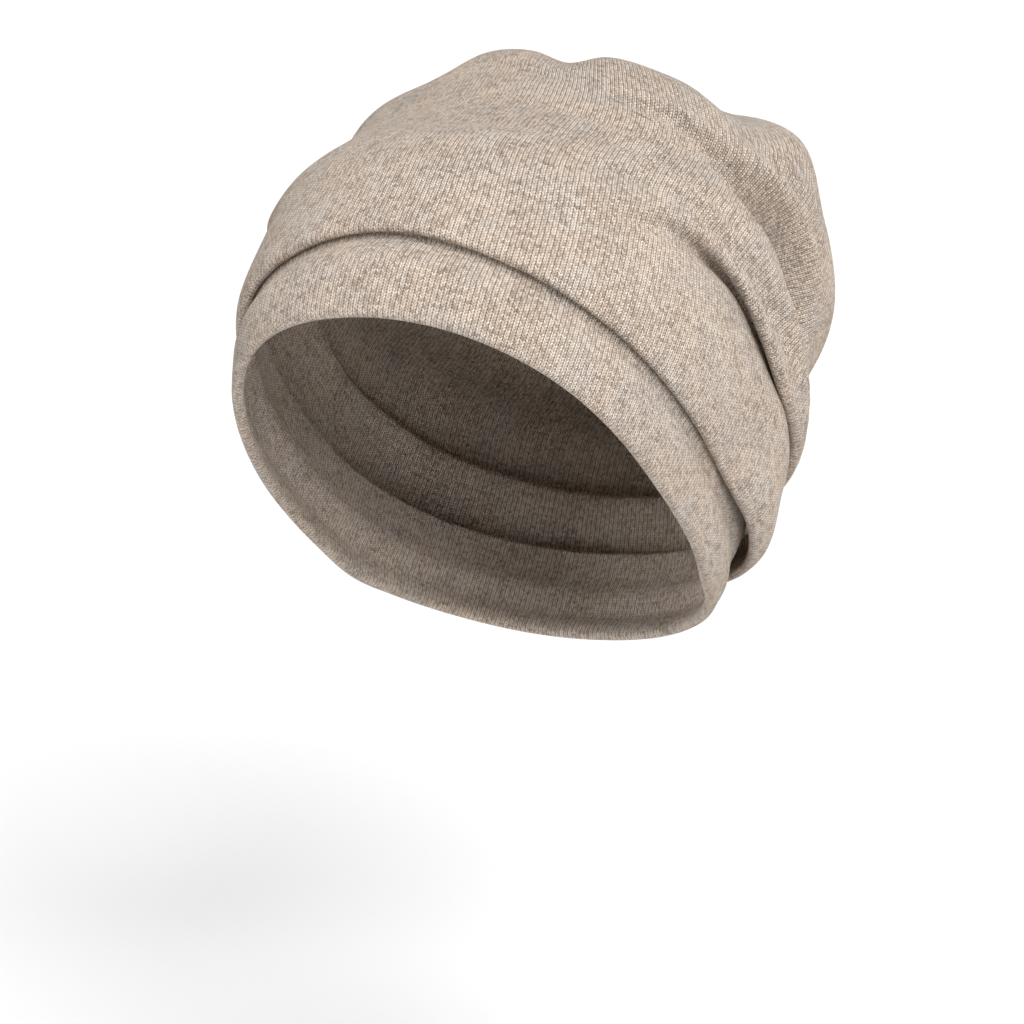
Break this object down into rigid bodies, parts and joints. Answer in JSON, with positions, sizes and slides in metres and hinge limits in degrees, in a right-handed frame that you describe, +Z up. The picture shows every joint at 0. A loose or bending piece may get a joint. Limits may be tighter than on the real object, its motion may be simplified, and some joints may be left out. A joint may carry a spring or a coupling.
{
  "type": "knit turban hat",
  "caption": "Soft jersey turban hat with a folded band round the brow and a loose gathered crown that hangs over itself in a tuck at the sides and back.",
  "frame": {"origin": "centre of the head that holds the hat, level with the brow", "axes": "+Z up the upright head, -Y towards the forehead, +X towards the wearer's left"},
  "size_m": [0.1921, 0.2153, 0.2174],
  "materials": {
    "band_jersey": "soft matte oatmeal heather jersey",
    "crown_jersey": "soft matte oatmeal heather jersey"
  },
  "bodies": {
    "root": {"band": "band_jersey", "crown": "crown_jersey"}
  },
  "joints": []
}
